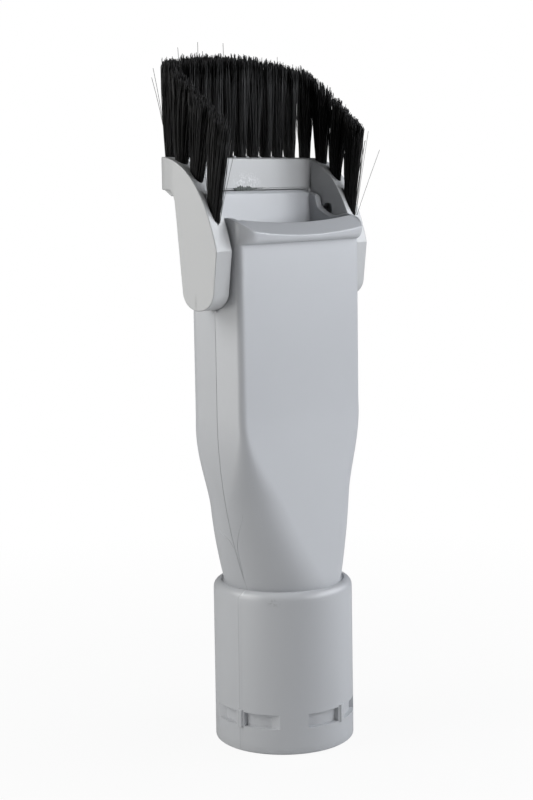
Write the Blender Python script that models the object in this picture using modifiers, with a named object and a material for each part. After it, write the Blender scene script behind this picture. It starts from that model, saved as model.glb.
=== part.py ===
"""Vacuum brush nozzle: a one-piece moulded duct with a flip-over frame of bristle tufts.

Metres, +Z up. The origin is the centre of the socket's bottom rim, -Y is the front (the side of
the flared lip), and the hinge of the brush frame lies along X. The duct runs from a round socket
to a wide flat mouth. The frame is U-shaped: its band rests on the mouth's back rim and its two
ears straddle the duct on moulded pivots. Each tuft is folded round a metal anchor in a blind hole.
"""
import math

import bmesh
import bpy
from mathutils import Vector

MM = 0.001

# Fits
RUNNING_GAP = 0.3 * MM
TUFT_CLEARANCE = 0.3 * MM

# Socket collar
COLLAR_RADIUS = 20.0 * MM
COLLAR_FOOT_CHAMFER = 0.7 * MM
COLLAR_SHOULDER_ROUND = 2.2 * MM
SOCKET_RADIUS = 17.5 * MM
SOCKET_DEPTH = 41.0 * MM
SOCKET_STOP_SLOPE = 2.0 * MM
COLLAR_ROOF = 3.5 * MM

# Shallow windows round the foot of the collar, in pairs either side of a rib
WINDOW_BASE = 7.5 * MM
WINDOW_HEIGHT = 4.1 * MM
WINDOW_DEPTH = 1.3 * MM
WINDOW_RIB = 2.8 * MM
WINDOW_REACH = 10.8 * MM

# Duct
DUCT_FOOT_RADIUS = 16.9 * MM
DUCT_HALF_WIDTH = 29.0 * MM
DUCT_HALF_DEPTH = 8.75 * MM
DUCT_CORNER = 2.0 * MM
DUCT_WALL = 2.0 * MM
TRANSITION_LENGTH = 50.5 * MM
NOZZLE_HEIGHT = 158.0 * MM

# Mouth, measured down from the back rim
BACK_FLARE = 1.65 * MM
BACK_FLARE_LENGTH = 26.0 * MM
SEAT_LEDGE = 2.2 * MM
SEAT_LEDGE_HEIGHT = 4.5 * MM
SIDE_NOTCH_DROP = 8.3 * MM
LIP_DROP = 8.95 * MM
LIP_BOW = 1.4 * MM
LIP_SLOPE = 0.68
LIP_UNDERSIDE_DROP = 14.5 * MM
LIP_OVERHANG = 3.2 * MM
LIP_END_SETBACK = 1.1 * MM
LIP_CORNER = 3.2 * MM
LIP_UNDER_ROUND = 1.4 * MM

# Hinge of the brush frame
PIVOT_DROP = 26.5 * MM
PIVOT_RADIUS = 3.0 * MM
PIVOT_LENGTH = 4.3 * MM
PIVOT_CHAMFER = 0.6 * MM

# Brush frame
EAR_THICKNESS = 6.7 * MM
EAR_END_RADIUS = 5.4 * MM
EAR_KINK_HEIGHT = 10.5 * MM
EAR_KINK_FORWARD = 6.55 * MM
EAR_REAR = 7.4 * MM
BAND_SEAT = 0.75 * MM
BAND_THICKNESS = 6.55 * MM
BAND_HEIGHT = 8.8 * MM
BAND_UNDER_ROUND = 1.2 * MM
FRAME_CORNER = 8.5 * MM
FRAME_EDGE = 0.7 * MM
POCKET_RADIUS = 1.8 * MM
POCKET_DEPTH = 3.0 * MM
POCKET_HEIGHT = 20.4 * MM
POCKET_REAR = 3.2 * MM

# Bristle tufts
TUFT_RADIUS = 1.4 * MM
TUFT_HOLE_DEPTH = 5.5 * MM
BACK_PITCH = 6.0 * MM
BACK_TUFTS_EACH_SIDE = 4
SIDE_PITCH = 5.1 * MM
SIDE_TUFTS = 3
CORNER_TUFT_ANGLE = math.radians(53)
SIDE_FAN = 1.0 * MM
CORNER_LEAN = 0.5 * MM
BRISTLE_REACH = 27.6 * MM
BRISTLE_CROWN_DROP = 2.3 * MM
BRISTLE_TRIM_SLOPE = 0.86
TUFT_SPREAD_GAP = 0.4 * MM

# Anchors
ANCHOR_THICKNESS = 0.35 * MM
ANCHOR_HEIGHT = 1.6 * MM
ANCHOR_LOOP = 0.5 * MM

# Fineness of round shapes
CORNER_STEPS = 9
ROUND_STEPS = 24
TUFT_STEPS = 16
EDGE_STEPS = 3
WELD = 0.01 * MM

# Sizes that follow from the ones above
COLLAR_HEIGHT = SOCKET_DEPTH + SOCKET_STOP_SLOPE + COLLAR_ROOF
TRANSITION_TOP = COLLAR_HEIGHT + TRANSITION_LENGTH
PIVOT_HEIGHT = NOZZLE_HEIGHT - PIVOT_DROP
MOUTH_BACK = DUCT_HALF_DEPTH + BACK_FLARE
EAR_INNER = DUCT_HALF_WIDTH + RUNNING_GAP
EAR_OUTER = EAR_INNER + EAR_THICKNESS
EAR_CENTRE = (EAR_INNER + EAR_OUTER) / 2
BAND_FRONT = MOUTH_BACK - BAND_SEAT
BAND_BACK = BAND_FRONT + BAND_THICKNESS
BAND_CENTRE = (BAND_FRONT + BAND_BACK) / 2
BAND_BASE = NOZZLE_HEIGHT + RUNNING_GAP
SEAT_RADIUS = math.hypot(DUCT_HALF_DEPTH, PIVOT_DROP)
SEAT_BACK = MOUTH_BACK + SEAT_LEDGE
BAND_TOP = BAND_BASE + BAND_HEIGHT
HOLE_RADIUS = TUFT_RADIUS + TUFT_CLEARANCE
OVERCUT = 6.0 * MM


def clear_scene():
    """Removes whatever the file holds."""
    for item in list(bpy.data.objects):
        bpy.data.objects.remove(item, do_unlink=True)


def new_collection(name):
    group = bpy.data.collections.new(name)
    bpy.context.scene.collection.children.link(group)
    return group


def new_material(name, colour, roughness, metallic=0.0):
    material = bpy.data.materials.new(name)
    material.use_nodes = True
    shader = material.node_tree.nodes["Principled BSDF"]
    shader.inputs["Base Color"].default_value = (*colour, 1.0)
    shader.inputs["Roughness"].default_value = roughness
    shader.inputs["Metallic"].default_value = metallic
    return material


def new_object(name, group, form, origin):
    """Object from a bmesh in world coordinates, its own origin at the point given; frees the bmesh."""
    bmesh.ops.translate(form, verts=form.verts, vec=-Vector(origin))
    form.normal_update()
    bmesh.ops.recalc_face_normals(form, faces=form.faces)
    mesh = bpy.data.meshes.new(name)
    form.to_mesh(mesh)
    form.free()
    item = bpy.data.objects.new(name, mesh)
    item.location = origin
    group.objects.link(item)
    return item


def loft(name, group, rings, origin=(0.0, 0.0, 0.0)):
    """Closed solid through rings of equally many points, for sections that differ along the way."""
    count = len(rings[0])
    points = [point for ring in rings for point in ring]
    faces = [tuple(reversed(range(count)))]
    for level in range(len(rings) - 1):
        low = level * count
        for step in range(count):
            after = (step + 1) % count
            faces.append((low + step, low + after, low + count + after, low + count + step))
    top = (len(rings) - 1) * count
    faces.append(tuple(range(top, top + count)))
    mesh = bpy.data.meshes.new(name + "_rings")
    mesh.from_pydata(points, [], faces)
    form = bmesh.new()
    form.from_mesh(mesh)
    bpy.data.meshes.remove(mesh)
    bmesh.ops.remove_doubles(form, verts=form.verts, dist=WELD)
    bmesh.ops.triangulate(form, faces=form.faces)
    return new_object(name, group, form, origin)


def cylinder(name, group, radius, start, end, steps):
    """Round bar or hole between two points, from Blender's own cylinder."""
    form = bmesh.new()
    span = Vector(end) - Vector(start)
    bmesh.ops.create_cone(form, cap_ends=True, segments=steps, radius1=radius, radius2=radius,
                          depth=span.length)
    item = new_object(name, group, form, (0.0, 0.0, 0.0))
    item.location = (Vector(start) + Vector(end)) / 2
    item.rotation_euler = span.to_track_quat("Z", "Y").to_euler()
    return item


def turned(name, group, profile, steps):
    """Solid turned round Z from a profile that runs from the axis at the top down to the axis."""
    mesh = bpy.data.meshes.new(name)
    edges = [(point, point + 1) for point in range(len(profile) - 1)]
    mesh.from_pydata([(radius, 0.0, height) for radius, height in profile], edges, [])
    item = bpy.data.objects.new(name, mesh)
    group.objects.link(item)
    screw = item.modifiers.new("turn", "SCREW")
    screw.axis = "Z"
    screw.steps = steps
    screw.render_steps = steps
    screw.use_merge_vertices = True
    screw.merge_threshold = WELD
    screw.use_smooth_shade = True
    return item


def prism(name, group, outline, thickness, place, origin=(0.0, 0.0, 0.0)):
    """Flat outline as a filled 2D curve of the given thickness, made a mesh; place moves a point."""
    curve = bpy.data.curves.new(name, "CURVE")
    curve.dimensions = "2D"
    curve.fill_mode = "BOTH"
    curve.extrude = thickness / 2
    line = curve.splines.new("POLY")
    line.points.add(len(outline) - 1)
    for point, (across, along) in zip(line.points, outline):
        point.co = (across, along, 0.0, 1.0)
    line.use_cyclic_u = True
    drawn = bpy.data.objects.new(name + "_outline", curve)
    group.objects.link(drawn)
    evaluated = drawn.evaluated_get(bpy.context.evaluated_depsgraph_get())
    mesh = bpy.data.meshes.new_from_object(evaluated)
    bpy.data.objects.remove(drawn, do_unlink=True)
    form = bmesh.new()
    form.from_mesh(mesh)
    bpy.data.meshes.remove(mesh)
    bmesh.ops.remove_doubles(form, verts=form.verts, dist=WELD)
    for vert in form.verts:
        vert.co = place(*vert.co)
    return new_object(name, group, form, origin)


def boolean(item, operation, tool):
    change = item.modifiers.new(operation.lower() + "_" + tool.name, "BOOLEAN")
    change.operation = operation
    change.solver = "EXACT"
    change.object = tool
    tool.hide_render = True
    tool.display_type = "WIRE"


def bevel(item, width, segments, angle):
    edge = item.modifiers.new("edges", "BEVEL")
    edge.width = width
    edge.segments = segments
    edge.use_clamp_overlap = False
    edge.limit_method = "ANGLE"
    edge.angle_limit = math.radians(angle)


def finish(item, material):
    item.data.materials.append(material)
    item.data.shade_smooth()
    item.data.set_sharp_from_angle(angle=math.radians(32))


def blend(share):
    """Smooth step from 0 to 1, flat at both ends."""
    share = min(1.0, max(0.0, share))
    return share * share * (3 - 2 * share)


def arc(centre, radius, start, end, steps):
    """Points of an arc, angles in degrees."""
    angles = [math.radians(start + (end - start) * step / steps) for step in range(steps + 1)]
    return [(centre[0] + radius * math.cos(a), centre[1] + radius * math.sin(a)) for a in angles]


def bezier(start, leave, arrive, end, steps):
    """Points of a cubic curve, its start and end included."""
    points = []
    for step in range(steps + 1):
        t = step / steps
        weights = ((1 - t) ** 3, 3 * t * (1 - t) ** 2, 3 * t * t * (1 - t), t ** 3)
        points.append(tuple(sum(w * p[axis] for w, p in zip(weights, (start, leave, arrive, end)))
                            for axis in (0, 1)))
    return points


def rounded_section(half_width, front, back, corner, height):
    """Rounded rectangle at one height, anticlockwise from the right: CORNER_STEPS to a corner."""
    points = []
    for across, along, start in ((1, back, 0), (-1, back, 90), (-1, -front, 180), (1, -front, 270)):
        centre_x = across * (half_width - corner)
        centre_y = along - math.copysign(corner, along)
        points += arc((centre_x, centre_y), corner, start, start + 90, CORNER_STEPS)
    return [(x, y, height) for x, y in points]


def duct_section(height, inset):
    """Section of the duct at a height, drawn in by inset for the inner wall.

    The half width grows with the square of the way up the transition, the half depth falls a
    little slower, and the sides stay half round until nearly half way up.
    """
    left_over = 1 - min(1.0, max(0.0, (height - COLLAR_HEIGHT) / TRANSITION_LENGTH))
    width = DUCT_HALF_WIDTH - (DUCT_HALF_WIDTH - DUCT_FOOT_RADIUS) * left_over ** 2
    depth = DUCT_HALF_DEPTH + (DUCT_FOOT_RADIUS - DUCT_HALF_DEPTH) * left_over ** 1.5
    squared = blend((0.55 - left_over) / 0.5)
    corner = depth + (DUCT_CORNER - depth) * squared
    flare = BACK_FLARE * blend((height - NOZZLE_HEIGHT + BACK_FLARE_LENGTH) / BACK_FLARE_LENGTH)
    corner = max(corner - inset, 0.4 * MM)
    corner = min(corner, width - inset, depth - inset)
    return rounded_section(width - inset, depth - inset, depth + flare - inset, corner, height)


def round_section(radius, height):
    return rounded_section(radius, radius, radius, radius, height)


def duct_heights(foot, top):
    """Heights for the rings of the duct: close together in the transition, far apart above it."""
    curved = [foot + (TRANSITION_TOP - foot) * step / 12 for step in range(13)]
    flared = [NOZZLE_HEIGHT - BACK_FLARE_LENGTH * (1 - step / 4) for step in range(5)]
    return curved + flared + [top]


def collar_profile():
    """Collar from its top, over the rounded shoulder and past the windows, to the chamfered foot."""
    round_centre = (COLLAR_RADIUS - COLLAR_SHOULDER_ROUND, COLLAR_HEIGHT - COLLAR_SHOULDER_ROUND)
    profile = [(0.0, COLLAR_HEIGHT)] + arc(round_centre, COLLAR_SHOULDER_ROUND, 90, 0, 4)
    for height in (WINDOW_BASE + WINDOW_HEIGHT + WINDOW_DEPTH / 2, WINDOW_BASE - WINDOW_DEPTH / 2,
                   COLLAR_FOOT_CHAMFER):
        profile.append((COLLAR_RADIUS, height))
    return profile + [(COLLAR_RADIUS - COLLAR_FOOT_CHAMFER, 0.0), (0.0, 0.0)]


def duct_form(cutters):
    """Outside of the duct, from within the collar to above the mouth."""
    rings = [duct_section(COLLAR_HEIGHT - COLLAR_SHOULDER_ROUND, 0.0)]
    rings += [duct_section(height, 0.0)
              for height in duct_heights(COLLAR_HEIGHT, NOZZLE_HEIGHT + OVERCUT / 2)]
    return loft("duct_form", cutters, rings)


def duct_bore(cutters):
    """Inside of the socket and the duct in one cutter, from below the foot to above the mouth."""
    stop = SOCKET_DEPTH + SOCKET_STOP_SLOPE
    rings = [round_section(SOCKET_RADIUS + COLLAR_FOOT_CHAMFER, -OVERCUT),
             round_section(SOCKET_RADIUS + COLLAR_FOOT_CHAMFER, 0.0),
             round_section(SOCKET_RADIUS, COLLAR_FOOT_CHAMFER),
             round_section(SOCKET_RADIUS, SOCKET_DEPTH),
             round_section(DUCT_FOOT_RADIUS - DUCT_WALL, stop)]
    rings += [duct_section(height, DUCT_WALL)
              for height in duct_heights(COLLAR_HEIGHT, NOZZLE_HEIGHT + OVERCUT)]
    return loft("duct_bore", cutters, rings)


def lip_outline():
    """Plan of the lip: a shallow bow across the front with round ends that join the duct's sides."""
    half = DUCT_HALF_WIDTH - RUNNING_GAP
    front = DUCT_HALF_DEPTH + LIP_OVERHANG
    end = half - LIP_CORNER
    bow = (end ** 2 + LIP_END_SETBACK ** 2) / (2 * LIP_END_SETBACK)
    swing = math.degrees(math.asin(end / bow))
    front_arc = arc((0.0, bow - front), bow, 270 - swing, 270 + swing, 12)
    corner_y = front_arc[-1][1] + LIP_CORNER * math.cos(math.radians(swing))
    centre_x = end - LIP_CORNER * math.sin(math.radians(swing))
    right = arc((centre_x, corner_y), LIP_CORNER, 270 + swing, 360, 4)
    left = [(-x, y) for x, y in reversed(right)]
    back = -DUCT_HALF_DEPTH + DUCT_WALL / 2
    return left + front_arc[1:-1] + right + [(centre_x, back), (-centre_x, back)]


def flared_lip(cutters):
    """Lip in front of the mouth, with a rounded underside; the mouth cutter slopes its top."""
    base = NOZZLE_HEIGHT - LIP_UNDERSIDE_DROP
    height = LIP_UNDERSIDE_DROP
    lip = prism("flared_lip", cutters, lip_outline(), height,
                lambda x, y, z: (x, y, base + height / 2 + z))
    form = bmesh.new()
    form.from_mesh(lip.data)
    under = [edge for edge in form.edges
             if all(v.co.z < base + height / 4 and v.co.y < -DUCT_HALF_DEPTH + DUCT_CORNER
                    for v in edge.verts) and len(edge.link_faces) == 2
             and abs(edge.link_faces[0].normal.z - edge.link_faces[1].normal.z) > 0.5]
    bmesh.ops.bevel(form, geom=under, offset=LIP_UNDER_ROUND, segments=3, profile=0.5,
                    affect="EDGES", clamp_overlap=True)
    form.to_mesh(lip.data)
    form.free()
    return lip


def seat_height(y, clearance=0.0):
    """Height of the seat under the brush band: a cylinder round the hinge, so the band slides off."""
    return PIVOT_HEIGHT + math.sqrt((SEAT_RADIUS + clearance) ** 2 - y * y)


def seat_steps(front, back, clearance, steps):
    """Side view of a stretch of the seat, front to back."""
    stations = [front + (back - front) * step / steps for step in range(steps + 1)]
    return [(y, seat_height(y, clearance)) for y in stations]


def seat_ledge(cutters):
    """Ledge behind the back rim that carries the brush band, sloped underneath; its top is cut later."""
    wall = MOUTH_BACK - DUCT_WALL / 2
    foot = NOZZLE_HEIGHT - SEAT_LEDGE_HEIGHT
    outline = [(wall, foot - SEAT_LEDGE), (MOUTH_BACK, foot - SEAT_LEDGE), (SEAT_BACK, foot),
               (SEAT_BACK, NOZZLE_HEIGHT + OVERCUT / 4), (wall, NOZZLE_HEIGHT + OVERCUT / 4)]
    return prism("seat_ledge", cutters, outline, 2 * DUCT_HALF_WIDTH, lambda y, z, x: (x, y, z))


def mouth_edge(x, y):
    """Height of the mouth's edge over a plan point: seat, notched side walls, sloping lip."""
    rim = MOUTH_BACK - BACK_FLARE
    notch = NOZZLE_HEIGHT - SIDE_NOTCH_DROP
    inner_lip = -DUCT_HALF_DEPTH + DUCT_WALL
    if y < inner_lip:
        bowed = NOZZLE_HEIGHT - LIP_DROP + LIP_BOW * (x / DUCT_HALF_WIDTH) ** 2
        return bowed - LIP_SLOPE * (inner_lip - y)
    if y < 0:
        ends = NOZZLE_HEIGHT - LIP_DROP + LIP_BOW * (x / DUCT_HALF_WIDTH) ** 2
        return ends + (notch - ends) * blend(1 - y / inner_lip)
    if y > rim:
        return seat_height(y)
    step_foot = 0.62 * rim
    step_head = 0.72 * rim
    ramp_head = NOZZLE_HEIGHT - 0.64 * SIDE_NOTCH_DROP
    shelf = NOZZLE_HEIGHT - 0.21 * SIDE_NOTCH_DROP
    if y < step_foot:
        return notch + (ramp_head - notch) * (y / step_foot) ** 1.6
    if y < step_head:
        return ramp_head + (shelf - ramp_head) * blend((y - step_foot) / (step_head - step_foot))
    return shelf + (NOZZLE_HEIGHT - shelf) * blend((y - step_head) / (rim - step_head))


def mouth_cutter(cutters):
    """Block above the mouth whose underside is the mouth's edge: strips along Y at a few widths."""
    rim = MOUTH_BACK - BACK_FLARE
    inner_lip = -DUCT_HALF_DEPTH + DUCT_WALL
    lines = [-DUCT_HALF_DEPTH - LIP_OVERHANG - OVERCUT, inner_lip]
    lines += [inner_lip * (1 - step / 4) for step in range(1, 5)]
    lines += [rim * share for share in (0.2, 0.4, 0.52, 0.62, 0.67, 0.72, 0.82, 0.9, 1.0)]
    lines += [rim + (SEAT_BACK + RUNNING_GAP - rim) * step / 4 for step in range(1, 5)]
    roof = NOZZLE_HEIGHT + OVERCUT
    half = DUCT_HALF_WIDTH + OVERCUT
    columns = 14
    rings = []
    for column in range(columns + 1):
        x = half * (2 * column / columns - 1)
        edge = [(x, y, mouth_edge(x, y)) for y in reversed(lines)]
        rings.append([(x, lines[0], roof), (x, lines[-1], roof)] + edge)
    return loft("mouth_cutter", cutters, rings)


def window_outline(near, far, sideways):
    """Plan of one window: between two radii of the collar and two straight end walls.

    The walls are parallel to the mould's pull along Y. sideways says that the window faces X,
    where its outer end wall is where the collar's chord of half length far would be.
    """
    floor = COLLAR_RADIUS - WINDOW_DEPTH
    outer = COLLAR_RADIUS + WINDOW_DEPTH
    if sideways:
        chord = math.sqrt(COLLAR_RADIUS ** 2 - far ** 2)
        angles = [math.degrees(math.asin(near / floor)), math.degrees(math.acos(chord / floor))]
        inner_arc = arc((0, 0), floor, angles[1], angles[0], 5)
        return inner_arc + [(outer, near), (outer, math.sqrt(outer ** 2 - chord ** 2)),
                            (chord, math.sqrt(outer ** 2 - chord ** 2))]
    angles = [math.degrees(math.acos(near / floor)), math.degrees(math.acos(far / floor))]
    inner_arc = arc((0, 0), floor, angles[0], angles[1], 5)
    return inner_arc + [(far, outer), (near, outer)]


def window_cutters(cutters):
    """Eight windows: a pair on each of the four sides, either side of the rib on the mould line."""
    tools = []
    for sideways in (True, False):
        outline = window_outline(WINDOW_RIB / 2, WINDOW_REACH, sideways)
        for flip_x in (1, -1):
            for flip_y in (1, -1):
                name = "window_%d" % (len(tools) + 1)
                tools.append(prism(name, cutters, outline, WINDOW_HEIGHT,
                                   lambda x, y, z, fx=flip_x, fy=flip_y:
                                   (fx * x, fy * y, WINDOW_BASE + WINDOW_HEIGHT / 2 + z)))
    return tools


def across(side, inner, outer, y=0.0, height=PIVOT_HEIGHT):
    """The two ends of a cylinder that lies along X on one side of the duct."""
    return (side * inner, y, height), (side * outer, y, height)


def build_nozzle_body(parts, cutters, material):
    """Collar, duct, mouth, lip and the two pivots: one moulding."""
    body = turned("nozzle_body", parts, collar_profile(), 4 * CORNER_STEPS)
    boolean(body, "UNION", duct_form(cutters))
    boolean(body, "UNION", flared_lip(cutters))
    boolean(body, "UNION", seat_ledge(cutters))
    boolean(body, "DIFFERENCE", duct_bore(cutters))
    boolean(body, "DIFFERENCE", mouth_cutter(cutters))
    for tool in window_cutters(cutters):
        boolean(body, "DIFFERENCE", tool)
    for side in (1, -1):
        start, end = across(side, DUCT_HALF_WIDTH - DUCT_WALL / 2, DUCT_HALF_WIDTH + PIVOT_LENGTH)
        pin = cylinder("pivot_pin_%d" % side, cutters, PIVOT_RADIUS, start, end, ROUND_STEPS)
        bevel(pin, PIVOT_CHAMFER, 1, 50)
        boolean(body, "UNION", pin)
    finish(body, material)
    return body


def ear_crown():
    """Top edge of an ear in side view, from the kink of its front up to the level of the band."""
    kink = (-EAR_KINK_FORWARD, PIVOT_HEIGHT + EAR_KINK_HEIGHT)
    rise = BAND_TOP - kink[1]
    run = BAND_CENTRE - kink[0]
    leave = (kink[0] + 0.12 * run, kink[1] + 0.44 * rise)
    arrive = (kink[0] + 0.42 * run, BAND_TOP)
    return bezier(kink, leave, arrive, (BAND_CENTRE, BAND_TOP), 18)


def crown_height(y):
    """Height of the frame's top surface over a distance back, read from the crown's curve."""
    curve = ear_crown()
    for (y0, z0), (y1, z1) in zip(curve, curve[1:]):
        if y <= y1:
            return z0 + (z1 - z0) * max(0.0, y - y0) / (y1 - y0)
    return BAND_TOP


def frame_side_outline():
    """Side view of the whole frame: round ear end, front edge, crown, band, underside, rear edge."""
    pivot = (0.0, PIVOT_HEIGHT)
    end = arc(pivot, EAR_END_RADIUS, 0, -180, ROUND_STEPS)
    corner = (BAND_BACK - BAND_UNDER_ROUND, BAND_BASE + BAND_UNDER_ROUND)
    under = arc(corner, BAND_UNDER_ROUND, 0, -90, 4)
    hip = (EAR_REAR, PIVOT_HEIGHT + 0.85 * PIVOT_DROP)
    shoulder = bezier((BAND_FRONT, BAND_BASE), (BAND_FRONT - 1.2 * MM, BAND_BASE),
                      (hip[0] + 0.2 * MM, hip[1] + 2.4 * MM), hip, 5)
    return end + ear_crown() + [(BAND_BACK, BAND_TOP)] + under + shoulder


def frame_plan_outline():
    """Plan of the frame: a U with round outer corners and sharp inner ones, open to the front."""
    front = -EAR_KINK_FORWARD - OVERCUT
    centre = (EAR_OUTER - FRAME_CORNER, BAND_BACK - FRAME_CORNER)
    right = arc(centre, FRAME_CORNER, 0, 90, 12)
    left = [(-x, y) for x, y in reversed(right)]
    inner = [(-EAR_INNER, BAND_FRONT), (EAR_INNER, BAND_FRONT)]
    return ([(EAR_OUTER, front)] + right + left + [(-EAR_OUTER, front), (-EAR_INNER, front)]
            + inner + [(EAR_INNER, front)])


def band_skirt(cutters):
    """Lower edge of the band between the ears, hollowed to ride on the seat."""
    under = seat_steps(BAND_FRONT, SEAT_BACK + RUNNING_GAP, RUNNING_GAP, 4)
    tail = (BAND_BACK - BAND_UNDER_ROUND - RUNNING_GAP, BAND_BASE)
    top = BAND_BASE + BAND_HEIGHT / 4
    outline = under + [tail, (tail[0], top), (BAND_FRONT, top)]
    return prism("band_skirt", cutters, outline, 2 * EAR_INNER + POCKET_DEPTH,
                 lambda y, z, x: (x, y, z))


def tuft_places():
    """Tufts from left to right round the U.

    Each is its plan place, its half width and half depth at the tips, and how far the tips stand
    to the side and forward of the root. The side tufts fan out forwards.
    """
    corner_x = EAR_OUTER - FRAME_CORNER
    corner_y = BAND_BACK - FRAME_CORNER
    reach = FRAME_CORNER - EAR_THICKNESS * 0.4
    corner = (corner_x + reach * math.cos(CORNER_TUFT_ANGLE),
              corner_y + reach * math.sin(CORNER_TUFT_ANGLE))
    side_spread = (SIDE_PITCH - TUFT_SPREAD_GAP) / 2
    back_spread = (BACK_PITCH - TUFT_SPREAD_GAP) / 2
    right = [(corner[0], corner[1], side_spread, side_spread, CORNER_LEAN, 0.0)]
    for step in range(SIDE_TUFTS):
        y = corner[1] - (step + 0.95) * SIDE_PITCH
        right.append((EAR_CENTRE, y, side_spread + TUFT_SPREAD_GAP, side_spread + SIDE_FAN / 2,
                      0.0, -(step + 1.0) * SIDE_FAN))
    left = [(-x, y, across, along, -side, forward)
            for x, y, across, along, side, forward in reversed(right)]
    each_side = BACK_TUFTS_EACH_SIDE
    back = [(step * BACK_PITCH, BAND_CENTRE, back_spread, back_spread, 0.0, 0.0)
            for step in range(-each_side, each_side + 1)]
    return left + back + right


def hole_floor(y):
    """Bottom of the blind hole of the tuft that stands at a distance back."""
    return crown_height(y - HOLE_RADIUS) - TUFT_HOLE_DEPTH


def build_brush_frame(parts, cutters, material):
    """U-shaped frame: side view crossed with plan, then drilled for tufts, pivots and pockets."""
    width = 2 * (EAR_OUTER + OVERCUT)
    frame = prism("brush_frame", parts, frame_side_outline(), width, lambda y, z, x: (x, y, z),
                  (0.0, 0.0, PIVOT_HEIGHT))
    tools = [prism("frame_plan", cutters, frame_plan_outline(), 2 * NOZZLE_HEIGHT,
                   lambda x, y, z: (x, y, NOZZLE_HEIGHT + z))]
    boolean(frame, "INTERSECT", tools[0])
    bevel(frame, FRAME_EDGE, EDGE_STEPS, 50)
    tools.append(band_skirt(cutters))
    boolean(frame, "UNION", tools[1])
    for number, (x, y, *_) in enumerate(tuft_places(), 1):
        tools.append(cylinder("tuft_hole_%02d" % number, cutters, HOLE_RADIUS,
                              (x, y, hole_floor(y)), (x, y, BAND_TOP + OVERCUT), TUFT_STEPS))
    inner = DUCT_HALF_WIDTH - DUCT_WALL
    for side in (1, -1):
        start, end = across(side, inner, DUCT_HALF_WIDTH + PIVOT_LENGTH + RUNNING_GAP)
        tools.append(cylinder("pivot_bore_%d" % side, cutters, PIVOT_RADIUS + RUNNING_GAP,
                              start, end, ROUND_STEPS))
        start, end = across(side, inner, EAR_INNER + POCKET_DEPTH, POCKET_REAR,
                            PIVOT_HEIGHT + POCKET_HEIGHT)
        tools.append(cylinder("pocket_%d" % side, cutters, POCKET_RADIUS, start, end, ROUND_STEPS))
    for tool in tools[2:]:
        boolean(frame, "DIFFERENCE", tool)
    finish(frame, material)
    return [frame] + tools


def trim_height(x, y):
    """Height of the trimmed bristle tips: crowned along the back, sloping down along the sides."""
    crown = BAND_TOP + BRISTLE_REACH - BRISTLE_CROWN_DROP * (x / EAR_CENTRE) ** 2
    back = max(0.0, BAND_CENTRE - y)
    return crown + BRISTLE_CROWN_DROP * 0.4 * (back > 0) - BRISTLE_TRIM_SLOPE * back


def ellipse_ring(x, y, across, along, height):
    """Ring of TUFT_STEPS points round a plan point; height is a function of the place."""
    ring = []
    for step in range(TUFT_STEPS):
        angle = 2 * math.pi * step / TUFT_STEPS
        px = x + across * math.cos(angle)
        py = y + along * math.sin(angle)
        ring.append((px, py, height(px, py)))
    return ring


def build_tuft(parts, cutters, material, number, place):
    """One tuft: straight in its hole, spreading above it, with an eye for its anchor."""
    x, y, across, along, side, forward = place
    floor = hole_floor(y) + TUFT_CLEARANCE
    free = crown_height(y + HOLE_RADIUS) + TUFT_CLEARANCE
    rings = [ellipse_ring(x, y, TUFT_RADIUS, TUFT_RADIUS, lambda px, py: floor),
             ellipse_ring(x, y, TUFT_RADIUS, TUFT_RADIUS, lambda px, py: free),
             ellipse_ring(x + side, y + forward, across, along, trim_height)]
    tuft = loft("bristle_tuft_%02d" % number, parts, rings, (x, y, floor))
    eye = anchor_block("anchor_eye_%02d" % number, cutters, place, TUFT_CLEARANCE, OVERCUT)
    boolean(tuft, "DIFFERENCE", eye)
    finish(tuft, material)
    return [tuft, eye]


def anchor_block(name, group, place, margin, spare_length):
    """Flat block along X across a tuft's hole, grown by a margin."""
    x, y = place[:2]
    base = hole_floor(y) + TUFT_CLEARANCE + ANCHOR_LOOP + TUFT_CLEARANCE
    form = bmesh.new()
    bmesh.ops.create_cube(form, size=1.0)
    bmesh.ops.scale(form, verts=form.verts,
                    vec=(2 * TUFT_RADIUS + spare_length, ANCHOR_THICKNESS + 2 * margin,
                         ANCHOR_HEIGHT + 2 * margin))
    block = new_object(name, group, form, (0.0, 0.0, 0.0))
    block.location = (x, y, base + ANCHOR_HEIGHT / 2)
    return block


def build_anchor(parts, material, number, place):
    anchor = anchor_block("tuft_anchor_%02d" % number, parts, place, 0.0, 0.0)
    anchor.data.materials.append(material)
    return [anchor]


def hinge(name, group, riders):
    """Empty on the hinge's axis that carries the riders, with X as the axis."""
    pivot = bpy.data.objects.new(name, None)
    pivot.empty_display_type = "SINGLE_ARROW"
    pivot.location = (0.0, 0.0, PIVOT_HEIGHT)
    group.objects.link(pivot)
    bpy.context.view_layer.update()
    for rider in riders:
        rider.parent = pivot
        rider.matrix_parent_inverse = pivot.matrix_world.inverted()
    return pivot


def main():
    clear_scene()
    parts = new_collection("vacuum_brush_nozzle")
    cutters = new_collection("cutters")
    body_grey = new_material("body_grey", (0.46, 0.47, 0.49), 0.38)
    frame_grey = new_material("frame_grey", (0.47, 0.48, 0.49), 0.40)
    bristle_black = new_material("bristle_black", (0.012, 0.012, 0.013), 0.42)
    anchor_metal = new_material("anchor_metal", (0.62, 0.60, 0.55), 0.32, 1.0)
    build_nozzle_body(parts, cutters, body_grey)
    riders = build_brush_frame(parts, cutters, frame_grey)
    for number, place in enumerate(tuft_places(), 1):
        riders += build_tuft(parts, cutters, bristle_black, number, place)
        riders += build_anchor(parts, anchor_metal, number, place)
    hinge("brush_hinge", parts, riders)


main()
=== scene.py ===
import math

import bpy
import numpy as np
from mathutils import Matrix

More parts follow.
